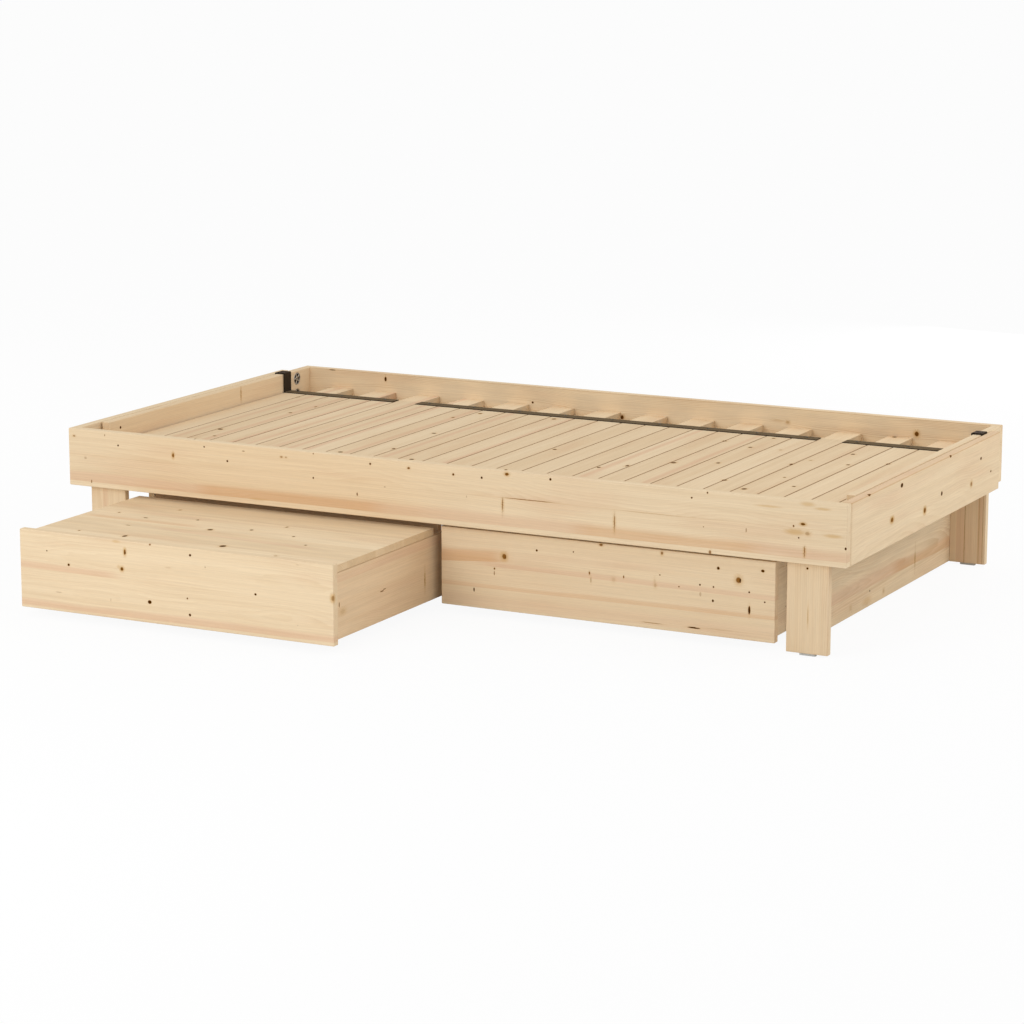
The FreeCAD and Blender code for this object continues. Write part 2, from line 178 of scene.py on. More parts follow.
def pine(name, node, grain, across, seed, face="low", knots=(), bands=(), joints=(), seams=(), pitch=0.0,
         scatter=0.0, warmth=0.0, variety=0.4, figure=1.0, mottle=0.0, end=0.12):
    """Planed pine as a solid texture, in millimetres along (u), across (v) and through (w) a board.

    Growth rings are cylinders about a pith line that wanders beside the board, r = |(v, w) - pith|,
    and each ring darkens slowly and ends sharply. A knot (u, v, half length, half width, darkness,
    amber rim) is an ellipsoid at the face that shows, and pushes the rings aside; a long thin one is
    a resin streak. A band (u0, v0, u1, v1, half width, strength, colour) is a stripe of heartwood
    along a line, sharp below and soft above, and a joint (u, v0, v1, darkest v) a finger joint across
    the grain. Seams are glue lines, or pitch the width of laths side by side, and each strip has its
    own pith and tone. Scatter is the share of cells in a loose grid that hold a knot, on the far side
    only if the face has its own. Mottle is how far the tone drifts in soft patches, and end the share
    of latewood tone on end grain. Laths carry painted shade high on their sides, for the gaps between them,
    as far as the tie bars reach, and behind the bars a painted highlight on top and painted shade at the
    sides.
    """
    low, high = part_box(node)
    tree, shader, material = new_material(name)
    depth = next(axis for axis in "XYZ" if axis not in (grain, across))
    place = tree.add("TexCoord", out="Object")
    corner = [-c / MM for c in low]
    ruler = place.add("Mapping", None, {"Vector": place, "Location": corner, "Scale": (1 / MM,) * 3})
    parts = ruler.split()
    u, v, w = [parts.output(axis) for axis in (grain, across, depth)]
    thickness = getattr(high - low, depth.lower()) / MM
    face_w = 0.0 if face == "low" else thickness

    def noise(along, beside, shift, detail=2.0):
        """Noise with its own length along the grain and beside it, as a value about one half."""
        at = u.add("CombineXYZ", None, {0: u / along + shift, 1: v / beside + seed, 2: w / beside})
        return at.noise(1.0, detail)

    strip = u * 0.0 + seed
    if pitch:
        strip = strip + (v / pitch).math("FLOOR")
    for seam in seams:
        strip = strip + v.math("GREATER_THAN", seam)
    lot = strip.add("TexWhiteNoise", {"noise_dimensions": "1D"}, {"W": strip})
    chance = lot.add("SeparateColor", None, {0: lot.output("Color")})
    luck = [chance.output(tint) for tint in ("Red", "Green", "Blue")]

    facing = place.output("Normal").split()
    end_grain = facing.output(grain).math("ABSOLUTE")
    ragged = noise(9.0, 7.0, 4.0) - 0.5
    rough_u = u + ragged * 2.0
    rough_v = v + ragged * 1.6
    spot = u.add("CombineXYZ", None, {0: rough_u, 1: rough_v, 2: w})
    core = u * 0.0
    rim = u * 0.0
    push = u * 0.0
    for along, beside, half_u, half_v, darkness, amber in knots:
        half_w = KNOT_DEPTH * max(half_u, half_v)
        squeeze = (1 / half_u, 1 / half_v, 1 / half_w)
        shift = (-along / half_u, -beside / half_v, -face_w / half_w)
        off = spot.add("VectorMath", {"operation": "MULTIPLY_ADD"}, {0: spot, 1: squeeze, 2: shift})
        far = off.add("VectorMath", {"operation": "LENGTH"}, {0: off}, out=1)
        core = core.math("MAXIMUM", far.reach(*KNOT_EDGE, darkness, 0.0))
        near = far.reach(*RIM_EDGE, 1.0, 0.0)
        if amber:
            rim = rim.math("MAXIMUM", near * (RIM_SHARE * amber))
        push = near.math("MULTIPLY_ADD", KNOT_PUSH * half_v, push)
    if scatter:
        cell_u, cell_v = 190.0, 58.0
        least, spread = 1.3, 4.5
        grid = u.add("CombineXYZ", None, {0: u / cell_u + seed, 1: v / cell_v + seed * 3.0})
        cell = grid.add("TexVoronoi", {"voronoi_dimensions": "2D"}, {"Vector": grid, "Scale": 1.0})
        middle = cell.output("Position").split()
        du = rough_u - (middle - seed) * cell_u
        dv = rough_v - (middle.output("Y") - seed * 3.0) * cell_v
        dice = grid.add("SeparateColor", None, {0: cell.output("Color")})
        size = dice * dice * dice * spread + least
        there = dice.output("Green").math("LESS_THAN", scatter) * end_grain.math("LESS_THAN", 0.5)
        if knots:
            there = there * (w - face_w).math("ABSOLUTE").math("GREATER_THAN", thickness / 2)
        far = (du * du + dv * dv).math("SQRT") / size
        dark = dice.output("Blue") * 0.5 + 0.5
        core = core.math("MAXIMUM", far.reach(*KNOT_EDGE, 1.0, 0.0) * there * dark)
        near = far.reach(*RIM_EDGE, 1.0, 0.0) * there
        rim = rim.math("MAXIMUM", near * dice * 0.5)
        push = push + near * size

    drift = noise(640.0, 400.0, 0.0) - 0.5
    pith_v = luck[0] * 260.0 - 60.0 + drift * 70.0
    pith_w = luck[1] * -70.0 - 28.0 + drift * 40.0 + u * (seed % 0.05 - 0.025)
    dv = v - pith_v
    dw = w - pith_w
    rings = (dv * dv + dw * dw).math("SQRT") + push + (noise(70.0, 9.0, 2.0) - 0.5) * 2.2
    pace = rings.add("TexNoise", {"noise_dimensions": "1D"}, {"W": rings / 16.0 + strip, "Scale": 1.0})
    turn = (rings / RING_WIDTH + pace * 2.4).math("FRACT")
    late = turn.reach(0.2, 0.92) * turn.reach(0.93, 1.0, 1.0, 0.0)

    streak = noise(900.0, 13.0, 7.0, 4.0)
    cloud = noise(420.0, 60.0, 11.0)
    fine = noise(190.0, 2.2, 5.0, 2.0)
    fibre = noise(22.0, 0.7, 3.0, 1.0)
    tone = streak.reach(0.3, 0.72) * 0.5 + luck[2] * variety + warmth
    colour = tone.between(PALE, CREAM).mix(HEART, max(warmth, 0.0))
    colour = colour.mix(ROSE, cloud.reach(0.5, 0.78, 0.0, 0.26))
    colour = colour.mix(LATEWOOD, late * cloud.reach(0.3, 0.7, 0.07 * figure, 0.26 * figure))
    if pitch:
        local = (v / pitch).math("FRACT")
        stripe = (local - luck[0]).math("ABSOLUTE") + (streak - 0.5) * 0.3
        colour = colour.mix(ROSE, stripe.reach(0.02, 0.2, 0.5, 0.0) * luck[1].math("GREATER_THAN", 0.6))
    wave = noise(300.0, 500.0, 9.0, 1.0) - 0.5
    for u0, v0, u1, v1, half, strength, tint in bands:
        slope = (v1 - v0) / (u1 - u0)
        middle = u * slope + (v0 - slope * u0)
        off = v - middle
        above = off + wave * min(10.0, half * half) + (streak - 0.5) * (half * 1.4)
        ends = u.within(u0, u1, BAND_FADE)
        band = off.reach(-half - 1.2, 0.4 - half) * above.reach(half * 0.2, half * 1.5, strength, 0.0)
        colour = colour.mix(tint, band * ends * (0.6 + streak * 0.4))
    for along, bottom, top, darkest in joints:
        zigzag = (v / FINGER_WIDTH).math("PINGPONG", 0.5) * 1.6 + ragged * 3.0
        near = (u - along + zigzag).math("ABSOLUTE")
        heart = (v - darkest).math("ABSOLUTE").reach(3.0, 26.0, 1.0, 0.25)
        share = v.within(bottom, top, JOINT_FADE) * heart * (fibre.reach(0.3, 0.7) * 0.5 + 0.6)
        rim = rim.math("MAXIMUM", near.reach(1.0, 7.0, 0.5, 0.0) * share)
        core = core.math("MAXIMUM", near.reach(0.3, 1.9, 0.62, 0.0) * share)
    for seam in seams:
        line = (v - seam).math("ABSOLUTE").reach(0.2, 1.0, 0.3, 0.0) * cloud.reach(0.35, 0.65)
        colour = colour.mix(LATEWOOD, line)
    colour = colour.mix(AMBER, rim)
    colour = colour.mix(KNOT_BROWN, core.reach(0.0, 0.55)).mix(KNOT_DARK, core.reach(0.45, 1.0))
    colour = colour.mix(LATEWOOD, end_grain.reach(0.7, 0.95, 0.0, end))
    shade = fibre.reach(0.25, 0.75, 0.975, 1.025) * fine.reach(0.28, 0.72, 0.965, 1.03)
    if pitch:
        # Painted shade high on the slats' sides, as far as the tie bars, stands for the shade in the gaps
        # between slats.
        gap_shade_end, bar_rear = 955.0, 975.0
        edge = facing.output(across).math("ABSOLUTE").reach(0.3, 0.8)
        gap_shade = w.reach(face_w - 4.0, face_w - 2.5) * u.reach(gap_shade_end, gap_shade_end + 15.0, 1.0, 0.0)
        # Behind the tie bars the slats get a painted highlight on their tops and painted shade on their
        # sides.
        behind_bars_painted = u.reach(bar_rear - 10.0, bar_rear + 10.0)
        colour = colour.mix(GAP_SHADE_BROWN, edge * gap_shade * 0.62)
        shade = shade * (1.0 + behind_bars_painted * (0.11 - edge * 0.27))
    if mottle:
        shade = shade * noise(130.0, 22.0, 13.0).reach(0.3, 0.7, 1.0 - mottle, 1.0 + mottle)
    colour = colour.add("VectorMath", {"operation": "SCALE"}, {0: colour, "Scale": shade})
    feed(shader, "Base Color", colour)
    feed(shader, "Roughness", 0.78 - late * 0.08 - core * 0.1 + (fibre - 0.5) * 0.12)
    feed(shader, "Normal", (fibre + streak * 0.8).bump(0.25, 0.0003))
    shader.inputs["Specular IOR Level"].default_value = 0.01
    return material


front_knots = [
    (17, 127, 3.2, 2, 0.35, 0.5), (110, 136, 1.5, 2.5, 0.32, 0), (150, 113.5, 1.9, 1.9, 1, 0),
    (50, 73, 3.5, 3, 0.22, 0), (314, 102.5, 2.4, 4.6, 0.56, 1), (406, 132, 1.8, 1.8, 1, 0),
    (473, 102, 2.3, 2.3, 1, 0), (629, 126, 3.2, 1.8, 0.34, 0.5), (642, 126, 2.6, 1.7, 0.27, 0.4),
    (719, 82, 1.6, 2.1, 1, 0), (520, 131, 4, 1.3, 0.36, 0), (720, 142, 1.6, 1.6, 0.4, 0),
    (67, 14, 1.4, 3.9, 0.48, 0), (879, 131, 2.2, 2.1, 0.9, 0.3), (985, 130, 3, 2, 0.64, 0.6),
    (1106.5, 125.5, 2.4, 2.4, 0.78, 0.3), (1183, 124.5, 2.3, 2.3, 1, 0), (1250, 139, 4.2, 2.9, 0.6, 0.9),
    (1365, 137, 2.5, 2.5, 1, 0), (842, 53, 1.4, 3.4, 0.8, 0.2), (1142, 75, 1.4, 2.8, 0.22, 0),
    (919, 78, 2.3, 1.2, 0.3, 0), (1767, 142.5, 1.7, 1.7, 0.85, 0.3), (1727.5, 127, 1.8, 1.8, 0.85, 0),
    (2003, 92, 4.8, 2.4, 0.72, 1), (1980, 85.5, 1.6, 2.2, 0.75, 0.2), (1993, 59.5, 1.6, 1.6, 1, 0),
    (2014, 71, 5, 3.5, 0.25, 0.5), (2107, 45.3, 2, 2.8, 1, 0), (1758, 62, 1.3, 1.3, 0.4, 0),
    (1864, 64.5, 1.3, 5, 0.33, 0), (1775, 4, 3, 4, 0.42, 0.3), (1308, 82, 60, 0.9, 0.42, 0.2),
    (1625, 80, 75, 0.8, 0.18, 0.2), (1917, 125, 15, 1.4, 0, 0.6), (2050, 131, 9, 1.5, 0, 0.7),
    (2076, 71, 10, 2.2, 0, 0.7), (1984, 72, 12, 3.6, 0, 0.8), (2014, 139, 8, 2.4, 0, 0.65),
    (560, 14, 12, 1.6, 0, 0.4)]
front_bands = [
    (-60, 26, 420, 26, 12.5, 0.55, ROSE), (400, 27, 900, 28, 13.5, 0.7, HEART),
    (880, 27, 1460, 27, 13, 0.5, ROSE), (1440, 26, 1890, 26, 12.5, 0.6, HEART),
    (1880, 26, 2170, 26, 12.5, 0.5, ROSE)]
front_joints = [(1239, 33, 83, 66), (1532, 20, 80, 49), (2008, 15, 42, 28)]
dress(pine("front_board_pine", "front_board", "X", "Z", 3.17, "low", front_knots, front_bands, front_joints,
           seams=(13.2, 81.0), scatter=0.3, figure=0.7, end=0.0), "front_board")


# Outer end boards: planed pine on edge that slides outside the inner pair, bolted to the front board.
# The right one shows a row of round dead knots, some with amber rims, and a pink top edge.
right_end_knots = [
    (259.5, 59.5, 6.8, 4.6, 0.58, 1.3), (477.5, 42, 6, 5.4, 0.62, 1.2), (593, 62.4, 4.6, 4.4, 1, 0.1),
    (319, 130.7, 6.6, 4.4, 1, 0), (804.5, 48, 5.2, 4.8, 0.36, 0.8), (871.5, 101, 4.5, 3.2, 1, 0),
    (649.5, 144, 5, 2.6, 0.75, 0), (948.7, 55.4, 3.8, 2.2, 0.8, 0), (112, 145, 6, 2.3, 0.75, 0.2),
    (2, 73, 5, 120, 0.12, 0.1)]
right_end_bands = [
    (-60, 146, 420, 146, 1.6, 0.45, ROSE), (380, 146, 1100, 146, 1.6, 0.3, ROSE),
    (-60, 144.7, 1100, 144.7, 1.1, 0.8, LATEWOOD)]
dress(pine("outer_end_right_pine", "outer_end_board_right", "Y", "Z", 8.41, "high", right_end_knots,
           right_end_bands, scatter=0.3, warmth=0.04, figure=0.8, mottle=0.015),
      "outer_end_board_right")
dress(pine("outer_end_left_pine", "outer_end_board_left", "Y", "Z", 5.63, scatter=0.35),
      "outer_end_board_left")


# Inner end boards: the same section of pine, fixed to the back board by cam locks, with a finger joint
# that shows on the left one's inner face.
dress(pine("inner_end_left_pine", "inner_end_board_left", "Y", "Z", 12.29, "high",
           [(50, 125, 3, 3, 1, 0), (820, 60, 4, 4, 0.8, 0.3)], joints=[(631, 96, 150, 124)],
           scatter=0.3, warmth=0.08),
      "inner_end_board_left")
dress(pine("inner_end_right_pine", "inner_end_board_right", "Y", "Z", 2.77, scatter=0.35),
      "inner_end_board_right")


# Back board: the shorter long board, flush with the inner end boards. Its inner face shows a few dark
# knots above the slats.
back_knots = [
    (267, 130.4, 2.8, 5.4, 1, 0.3), (727, 101, 2.5, 2.5, 1, 0.2), (1477, 108, 4, 3, 0.2, 0.7),
    (1835, 106.7, 4.8, 5.4, 0.74, 1), (997, 82, 4, 4.4, 0.8, 0.8), (1450, 110, 10, 1.6, 0, 0.5),
    (95.5, 143.4, 9, 1, 0.85, 0.1), (120, 60, 3, 3, 0.9, 0.2), (1120, 40, 4, 3, 0.9, 0.3)]
# The thin latewood line just under the top edge of the inner face is partly the wood's colour and partly
# painted shade at the arris.
dress(pine("back_board_pine", "back_board", "X", "Z", 7.93, "low", back_knots,
           bands=[(-60, 144.6, 2140, 144.6, 1.1, 0.6, LATEWOOD)], seams=(70.0,), scatter=0.4, warmth=-0.6,
           figure=2.2, mottle=0.035),
      "back_board")


# Legs: four flat pine boards on end, cut square and left untreated. They are screwed behind the front
# board and inside the back board, with the grain upright.
dress(pine("leg_front_right_pine", "front_leg_right", "Z", "X", 4.51, "low",
           [(199.6, 49.8, 2.1, 2.1, 1, 0.3), (88, 53, 16, 1.0, 0.2, 0.6)], scatter=0.2, warmth=0.06,
           figure=1.4, mottle=0.02),
      "front_leg_right")
dress(pine("leg_rear_right_pine", "rear_leg_right", "Z", "X", 10.55, "low",
           [(120, 40, 150, 0.9, 0.3, 0.2), (120, 78, 150, 0.8, 0.22, 0.2), (120, 88, 150, 0.7, 0.25, 0.2)],
           bands=[(-60, 30, 320, 28, 12, 0.4, ROSE), (-60, 82, 320, 84, 8, 0.4, HEART)], scatter=0.2,
           warmth=0.08),
      "rear_leg_right")
for index, leg in enumerate(("front_leg_left", "rear_leg_left")):
    dress(pine(leg + "_pine", leg, "Z", "X", 6.37 + 2.09 * index, scatter=0.2,
               bands=[(-60, 40 + 20 * index, 320, 46 + 20 * index, 8, 0.35, ROSE)]), leg)


# End panels: glued-up pine panels that stand on the floor between the legs and keep the ends square.
# The right one has a red heart stripe along its length and a finger joint near the rear.
panel_knots = [(393, 38, 2.1, 2.1, 1, 0), (485.5, 18.2, 5, 5, 0.15, 0.4), (374.5, 17, 14, 5, 0.06, 0.5),
               (267.5, 21, 6, 5, 0.1, 0.3)]
dress(pine("end_panel_right_pine", "end_panel_right", "Y", "Z", 9.71, "high", panel_knots,
           bands=[(-60, 70, 640, 62, 16, 0.55, ROSE), (560, 62, 1060, 52, 14, 0.55, HEART)],
           joints=[(702, 15, 100, 55)], seams=(113.0, 180.0), scatter=0.3, figure=1.4, mottle=0.03),
      "end_panel_right")
dress(pine("end_panel_left_pine", "end_panel_left", "Y", "Z", 1.39, scatter=0.35, seams=(82.0, 165.0)),
      "end_panel_left")


# Rails: square pine battens under the slats, three across the end panels and one ledger that is
# screwed along the back of the front board.
rails = ["front_cross_rail", "middle_cross_rail", "rear_cross_rail", "front_slat_ledger"]
for index, rail in enumerate(rails):
    dress(pine(rail + "_pine", rail, "X", "Z", 10.13 + 3.31 * index, scatter=0.3), rail)


# Slats: planed pine laths side by side, every second one screwed to the rails and the others riding
# with the front board. Each is sawn from its own stick, so the tone steps from one to the next.
slat_knots = [
    (376, 146, 6, 6, 0.95, 0.45), (287, 185, 3.6, 3.7, 0.81, 0.45), (672, 180, 4, 4.2, 0.81, 0.45),
    (783, 193, 5.4, 2.8, 0.63, 0.45), (897, 69, 3.6, 3.7, 0.45, 0.45), (242, 587.5, 4.9, 5, 0.95, 0.45),
    (239, 794, 4.8, 4.8, 0.95, 0.45), (580, 670, 4, 5.4, 0.95, 0.45), (343, 684, 6.3, 3, 0.85, 0.45),
    (810, 602, 4.5, 3.7, 0.63, 0.45), (895, 639, 5.4, 4.7, 0.54, 0.5), (912, 852, 5.4, 4.7, 0.81, 0.7),
    (522, 1050, 4.8, 4.4, 0.85, 0.5), (946, 683, 4.5, 3.7, 0.72, 0.45), (358, 1253, 4.9, 4, 0.9, 0.5),
    (409, 1306, 7.2, 3.3, 0.92, 0.6), (497, 1391, 6, 5.6, 0.86, 0.6), (545, 1490, 5, 4.2, 0.92, 0.5),
    (826, 1384, 4.8, 4.4, 0.86, 0.5), (775.6, 1477, 4.3, 4.4, 0.86, 0.5), (352, 1592, 6, 4.7, 0.92, 0.5),
    (274, 1677, 6.3, 5.2, 0.85, 0.5), (918, 1481, 3.6, 3.7, 0.63, 0.45), (613, 1657, 6.3, 3.7, 0.82, 0.45),
    (777, 1559, 3.6, 3.7, 0.27, 0.45), (357, 1770, 3.8, 3.9, 0.85, 0.5), (682, 1680, 3.6, 3.7, 0.27, 0.45),
    (450, 1707, 3.6, 3.2, 0.54, 0.45), (806, 1743, 4.8, 4.4, 0.92, 0.45), (670, 1784, 4.2, 3.9, 0.82, 0.45),
    (726, 1868, 6.6, 3.5, 0.95, 0.45), (1078, 1750, 5, 5, 0.92, 0.5)]
moving_slats = ["moving_slats_left", "moving_slats_middle", "moving_slats_right"]
fixed_slats = sorted(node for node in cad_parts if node.startswith("fixed_slat_"))
slat_pitch = (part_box("fixed_slat_02")[0].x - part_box("fixed_slat_01")[0].x) / 2 / MM
dress(pine("slat_pine", "moving_slats_left", "Y", "X", 11.57, "high", slat_knots, pitch=slat_pitch,
           warmth=0.03, variety=0.7, figure=1.5),
      *moving_slats, *fixed_slats)


# Drawer fronts: glued-up pine boards that stand proud of the box behind them, with a pink strip along
# the lower edge of the left one and a reddish patch at one end of the right one.
left_front_knots = [
    (301, 164, 2.6, 5.4, 0.58, 1), (302, 162.5, 1.4, 3.4, 0.9, 0), (291.6, 122, 3.4, 3.6, 0.72, 1),
    (283, 126, 2.4, 2.4, 0, 0.5), (140, 116.6, 2.5, 2.5, 0.9, 0.3), (78, 144.4, 1.5, 1.5, 1, 0),
    (483, 174.7, 2.4, 2.4, 1, 0), (368, 50.5, 4.3, 3.7, 1, 0.1), (473, 70.5, 1.8, 1.8, 0.78, 0),
    (479.5, 31.6, 2.7, 2.7, 1, 0), (660, 100.4, 2.5, 2.4, 1, 0), (867, 113, 4, 5.6, 0.32, 1),
    (372, 189, 2.2, 2.2, 0.48, 0), (524, 150.5, 2, 2, 0.25, 0), (421.6, 139, 6.5, 1.5, 0.12, 0),
    (109, 46.5, 8, 1.3, 0.2, 0), (258, 44, 1.4, 3.4, 0.2, 0), (774, 182, 4, 1.4, 0.14, 0),
    (772.5, 39, 1.6, 1.4, 0.18, 0), (277, 187, 6, 1.6, 0, 0.6)]
dress(pine("drawer_left_front_pine", "drawer_left_front", "X", "Z", 6.83, "low", left_front_knots,
           bands=[(-60, 107, 270, 105, 8, 0.6, ROSE), (-60, 14, 930, 18, 8, 0.6, ROSE)],
           seams=(97.0,), scatter=0.3, figure=0.75),
      "drawer_left_front")
right_front_knots = [
    (170.6, 133, 5, 5.8, 0.5, 0.9), (173.6, 132, 1.4, 4, 0.75, 0), (257, 156.5, 2.3, 2.3, 0.85, 0),
    (426, 187, 4, 2.4, 0.48, 0.6), (582.7, 183, 2.5, 3.2, 0.42, 0.7), (725.7, 162.3, 3, 3, 0.95, 0.2),
    (836.4, 167, 3.6, 2.9, 0.88, 0.3), (776.6, 139.4, 5.6, 6.3, 0.5, 0.7), (780.6, 138.6, 1.7, 4.6, 1, 0),
    (804.3, 71.5, 2.4, 8.2, 0.95, 0.3), (713, 84, 2, 2.7, 1, 0), (842.6, 94.6, 1.6, 1.6, 1, 0),
    (803.4, 113.7, 1.8, 1.8, 1, 0), (714, 116.7, 1.6, 1.8, 1, 0.2), (680, 118.3, 1.8, 1.8, 1, 0),
    (681, 96, 2.5, 5, 0.22, 0), (626.6, 108, 1.4, 1.4, 0.8, 0.2), (566.5, 105, 3, 4.5, 0.18, 0.3),
    (564.7, 115, 2.3, 5, 0.12, 0.2), (577.8, 130.7, 1.6, 1.3, 0.75, 0), (485, 116.4, 1.4, 3, 0.55, 0.2),
    (459, 107, 4, 5, 0.13, 0.2), (396, 116.3, 1.5, 3.2, 0.66, 0.5), (400, 100, 1.5, 6, 0.25, 0.2),
    (144.4, 101, 1.7, 2.1, 0.7, 0.3), (143.7, 90, 1.3, 5, 0.42, 0), (89, 43.6, 1.6, 4.2, 1, 0),
    (353.7, 162.7, 1.5, 1.5, 1, 0), (666, 14.5, 13, 1.4, 0.95, 0.3), (730, 17, 34, 0.9, 0.14, 0.2),
    (559, 14, 24, 0.9, 0.32, 0.3)]
dress(pine("drawer_right_front_pine", "drawer_right_front", "X", "Z", 14.19, "low", right_front_knots,
           bands=[(-60, 118, 165, 134, 15, 0.75, HEART), (120, 112, 930, 106, 6, 0.5, ROSE),
                  (-60, 55, 930, 60, 5, 0.45, HEART), (-60, 20, 930, 24, 14, 0.25, ROSE)],
           seams=(75.0,), scatter=0.3, warmth=0.04, figure=0.75),
      "drawer_right_front")


# Drawer sides and backs: plain pine boards screwed into a box behind each front, with the grain along
# their length and a groove inside for the bottom.
left_side_knots = [(222, 72, 7, 1.2, 0.8, 0.1), (234, 75, 5.6, 0.9, 0.7, 0.1), (24.5, 80.7, 1.4, 5, 0.7, 0),
                   (40, 62, 9, 5, 0.12, 0.4)]
# A thin line of painted shade runs along the top of this side, where the lid rests on it.
dress(pine("drawer_left_inner_side_pine", "drawer_left_inner_side", "Y", "Z", 3.91, "high", left_side_knots,
           bands=[(-60, 143, 600, 143, 9, 0.4, ROSE), (-60, 157.2, 600, 157.2, 1, 0.5, GAP_SHADE_BROWN)],
           joints=[(430, 20, 95, 56)], warmth=0.22, mottle=0.02),
      "drawer_left_inner_side")
box_boards = [("drawer_left_outer_side", "Y", 0.12), ("drawer_right_inner_side", "Y", 0.12),
              ("drawer_right_outer_side", "Y", -0.3), ("drawer_left_back", "X", 0.6),
              ("drawer_right_back", "X", 0.6)]
for index, (board, grain, warmth) in enumerate(box_boards):
    dress(pine(board + "_pine", board, grain, "Z", 7.07 + 1.83 * index, scatter=0.3, warmth=warmth), board)


# Drawer lids: pine panels glued up from seven strips, planed and left untreated. They lie loose on the
# box and lift out by the rear edge. The left one is darker and pinker along its rear edge, under the front
# board, with a painted shadow.
# A pink brown for the painted shadow along the left lid's rear edge, under the front board.
SHADED_ROSE = srgb(190, 146, 118)
left_lid_knots = [
    (381, 208, 5.2, 5.4, 0.95, 0.6), (293, 290, 2.9, 3.3, 0.89, 0.45), (471, 251, 3.5, 3.9, 0.95, 0.5),
    (599, 233, 2.7, 3.1, 0.85, 0.45), (507, 66, 6.2, 7.6, 1, 0.45), (240, 54, 4.4, 6.6, 1, 0.45),
    (72, 278, 2.7, 3.1, 0.5, 0.45), (166, 254, 5.5, 2.4, 0.79, 0.45), (177, 161.5, 5.5, 1.8, 0.59, 0.45),
    (107, 57, 2.7, 3.1, 0.5, 0.45), (189, 371, 3.6, 4.1, 0.3, 0.45), (529, 318, 2.7, 5.2, 0.4, 0.45),
    (672, 33, 3.6, 4.1, 0.25, 0.45), (673.5, 164, 2.6, 2.9, 0.79, 0.45)]
lid_seams = (62.0, 128.0, 193.0, 262.0, 330.0, 398.0)
dress(pine("drawer_left_lid_pine", "drawer_left_lid", "X", "Y", 5.21, "high", left_lid_knots,
           bands=[(20, 225, 330, 228, 14, 0.4, HEART), (260, 170, 700, 140, 12, 0.35, ROSE),
                  (-60, 484, 920, 484, 12, 0.6, SHADED_ROSE)],
           seams=lid_seams, warmth=-0.25, variety=0.9, figure=1.5, mottle=0.03, end=0.42),
      "drawer_left_lid")
dress(pine("drawer_right_lid_pine", "drawer_right_lid", "X", "Y", 9.37, scatter=0.3, seams=lid_seams),
      "drawer_right_lid")


# Drawer bottoms: thin sheets of sanded pine plywood with few knots, one to a drawer, that slide into
# the grooves of the box before its back is screwed on.
dress(pine("drawer_bottom_ply", "drawer_left_bottom", "X", "Y", 2.23, scatter=0.12),
      "drawer_left_bottom", "drawer_right_bottom")


# Tie bars: flat steel strip with a fine black powder coat, screwed over the ends of the moving slats.
# The outer two are bent into hooks that run on the inner end boards.
# The bar tops get a pale brown painted reflection of the wood around them, in patches; the same patches
# vary the gloss.
SHEEN_COAT = srgb(107, 91, 69)
WORN_SHEEN_COAT = srgb(124, 108, 85)
COAT_HOOK = srgb(73, 61, 51)
SHADED_COAT_EDGE = srgb(40, 33, 27)
SHADED_COAT_ARM = srgb(60, 50, 39)
hook_low = 0.34
hook_high = 0.36
tree, shader, black_steel = new_material("black_powder_coat")
place = tree.add("TexCoord", out="Object")
peel = place.noise(900.0, 2.0)
wear_and_sheen = place.noise(35.0, 5.0, 0.7)
facing = place.output("Normal").split()
coat = wear_and_sheen.reach(0.45, 0.8).between(SHEEN_COAT, WORN_SHEEN_COAT)
# Above hook_low the hook tops keep a darker coat, without the painted reflection.
coat = coat.mix(COAT_HOOK, place.split().output("Z").reach(hook_low, hook_high))
# Faces turned to the front and back, and faces turned sideways, get painted shade.
coat = coat.mix(SHADED_COAT_EDGE, facing.output("Y").math("ABSOLUTE").reach(0.4, 0.8))
coat = coat.mix(SHADED_COAT_ARM, facing.math("ABSOLUTE").reach(0.4, 0.8))
feed(shader, "Base Color", coat)
feed(shader, "Roughness", wear_and_sheen.reach(0.3, 0.8, 0.52, 0.68))
feed(shader, "Normal", peel.bump(0.3, 0.0002))
shader.inputs["Specular IOR Level"].default_value = 0.004
dress(black_steel, "tie_bar_left", "tie_bar_middle", "tie_bar_right")


# Castor forks: bent zinc-plated steel, dull grey with faint cloudy stains and a fine grain, riveted to
# the drawer bottoms.
SUNK_BROWN = srgb(46, 33, 25)


def zinc(name, light, dark, scale):
    """Plated metal whose tone and gloss drift with a cloudy noise, darker and rougher where a piece is
    sunk.
    """
    tree, shader, material = new_material(name)
    place = tree.add("TexCoord", out="Object")
    stain = place.noise(scale, 4.0)
    speck = place.noise(1400.0, 1.0)
    sunk_dark = place.add("Attribute", {"attribute_name": "sunk_dark"}, out="Fac")
    feed(shader, "Base Color", stain.reach(0.3, 0.7).between(dark, light).mix(SUNK_BROWN, sunk_dark))
    feed(shader, "Roughness", stain.reach(0.3, 0.75, 0.3, 0.5) + (speck - 0.5) * 0.1 + sunk_dark * 0.3)
    feed(shader, "Normal", speck.bump(0.2, 0.0001))
    shader.inputs["Metallic"].default_value = 1.0
    return material


dress(zinc("castor_steel", srgb(196, 198, 200), srgb(150, 152, 155), 90.0),
      "drawer_left_castor_forks", "drawer_right_castor_forks")


# Cam locks: die-cast zinc discs let into the end boards, with a ribbed face and a cross for the driver.
# Each takes the head of a steel bolt that is screwed into the front or back board and draws it tight.
FACE_SPAN = 0.5


def rise(values, start, end):
    """A smooth step on a whole array, from 0 at start to 1 at end."""
    share = np.clip((values - start) / (end - start), 0.0, 1.0)
    return share * share * (3.0 - 2.0 * share)


